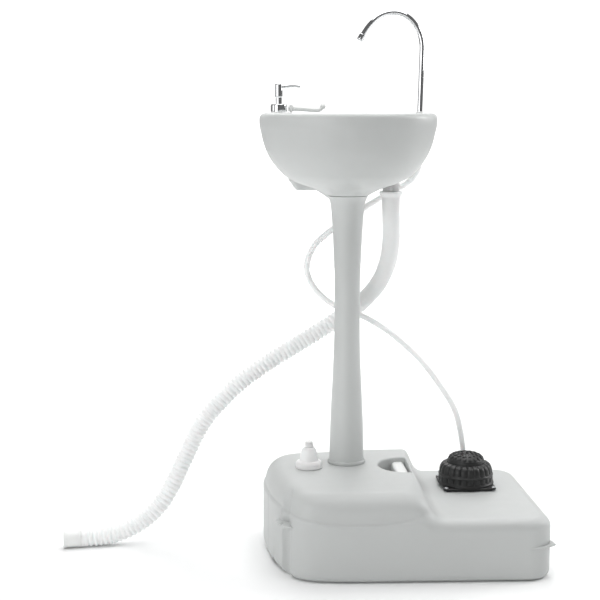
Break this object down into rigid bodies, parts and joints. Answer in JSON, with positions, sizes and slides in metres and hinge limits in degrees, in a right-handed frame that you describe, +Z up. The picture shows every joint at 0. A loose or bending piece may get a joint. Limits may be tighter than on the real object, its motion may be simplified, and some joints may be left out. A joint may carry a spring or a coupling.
{
  "type": "portable handwash sink",
  "caption": "Portable handwash sink: round basin with gooseneck tap and soap pump on a waisted column over a wheeled water tank with a foot pump.",
  "frame": {"origin": "on the floor, at the tank's flat underside, on the column's axis", "axes": "+X to the right of a person at the basin, towards the foot pump; +Y to the back; +Z up"},
  "size_m": [0.9063, 0.409, 1.018],
  "materials": {
    "body_plastic": "satin light grey blow-moulded polyethylene",
    "white_plastic": "smooth white moulded plastic",
    "translucent_plastic": "milky translucent polyethylene",
    "black_rubber": "satin black moulded rubber",
    "dark_plastic": "black moulded plastic",
    "tyre_rubber": "black solid tyre",
    "seal_rubber": "soft grey sealing rubber",
    "chrome": "polished chrome plate",
    "steel": "zinc-plated steel"
  },
  "bodies": {
    "frame": {"tank_shell": "body_plastic", "column": "body_plastic", "column_foot_ring": "body_plastic", "basin": "body_plastic", "grip_bar": "white_plastic", "tap_grommet": "white_plastic", "tap_nut": "white_plastic", "soap_flange": "white_plastic", "towel_arm_pin": "white_plastic", "outlet_fitting": "white_plastic", "dip_strainer": "white_plastic", "hose_nut": "white_plastic", "hose_cuff": "white_plastic", "pressure_tube": "translucent_plastic", "dip_tube": "translucent_plastic", "soap_barrel": "translucent_plastic", "soap_dip_tube": "translucent_plastic", "soap_bottle": "translucent_plastic", "supply_tube": "translucent_plastic", "drain_hose": "translucent_plastic", "pump_base_plate": "black_rubber", "pump_skirt": "black_rubber", "pump_cup": "dark_plastic", "pump_gasket": "seal_rubber", "drain_gasket": "seal_rubber", "inlet_valve": "seal_rubber", "outlet_valve": "seal_rubber", "soap_collar": "chrome", "drain_tail": "chrome", "axle": "steel", "axle_clip_front": "steel", "axle_clip_back": "steel", "pump_spring": "steel", "soap_spring": "steel", "pump_screw_front_left": "steel", "pump_screw_front_right": "steel", "pump_screw_back_left": "steel", "pump_screw_back_right": "steel"},
    "tap": {"tap_spout": "chrome", "tap_nozzle": "chrome"},
    "soap_stem": {"soap_stem": "chrome"},
    "soap_head": {"soap_head": "chrome"},
    "towel_arm": {"towel_arm": "white_plastic"},
    "pump_crown": {"pump_crown": "black_rubber"},
    "filler_cap": {"filler_cap": "translucent_plastic", "cap_gasket": "seal_rubber"},
    "vent_spout": {"vent_spout": "translucent_plastic"},
    "wheel_front": {"wheel_hub_front": "dark_plastic", "wheel_tyre_front": "tyre_rubber"},
    "wheel_back": {"wheel_hub_back": "dark_plastic", "wheel_tyre_back": "tyre_rubber"}
  },
  "joints": [
    {"name": "tap_swivel", "type": "hinge", "parent": "frame", "child": "tap", "pos_m": [0.143, 0.05, 0.83], "axis": [0, 0, 1], "range_deg": [-95, 95]},
    {"name": "soap_press", "type": "slide", "parent": "frame", "child": "soap_stem", "axis": [0, 0, -1], "range_m": [0, 0.011], "stiffness_N_per_m": 400, "springref_m": -0.008, "deforming": ["soap_spring"]},
    {"name": "soap_head_turn", "type": "hinge", "parent": "soap_stem", "child": "soap_head", "pos_m": [-0.127, 0.055, 0.87], "axis": [0, 0, 1], "continuous": true},
    {"name": "towel_arm_swing", "type": "hinge", "parent": "frame", "child": "towel_arm", "pos_m": [-0.103, 0.064, 0.838], "axis": [0, 0, 1], "range_deg": [-80, 80]},
    {"name": "pump_press", "type": "slide", "parent": "frame", "child": "pump_crown", "axis": [0, 0, -1], "range_m": [0, 0.022], "stiffness_N_per_m": 1500, "springref_m": -0.006, "deforming": ["pump_spring"]},
    {"name": "filler_cap_lift", "type": "slide", "parent": "frame", "child": "filler_cap", "axis": [0, 0, 1], "range_m": [0, 0.05]},
    {"name": "vent_spout_pull", "type": "slide", "parent": "filler_cap", "child": "vent_spout", "axis": [0, 0, 1], "range_m": [0, 0.005]},
    {"name": "wheel_front_spin", "type": "hinge", "parent": "frame", "child": "wheel_front", "pos_m": [-0.116, -0.11, 0.028], "axis": [0, 1, 0], "continuous": true},
    {"name": "wheel_back_spin", "type": "hinge", "parent": "frame", "child": "wheel_back", "pos_m": [-0.116, 0.025, 0.028], "axis": [0, 1, 0], "continuous": true}
  ]
}
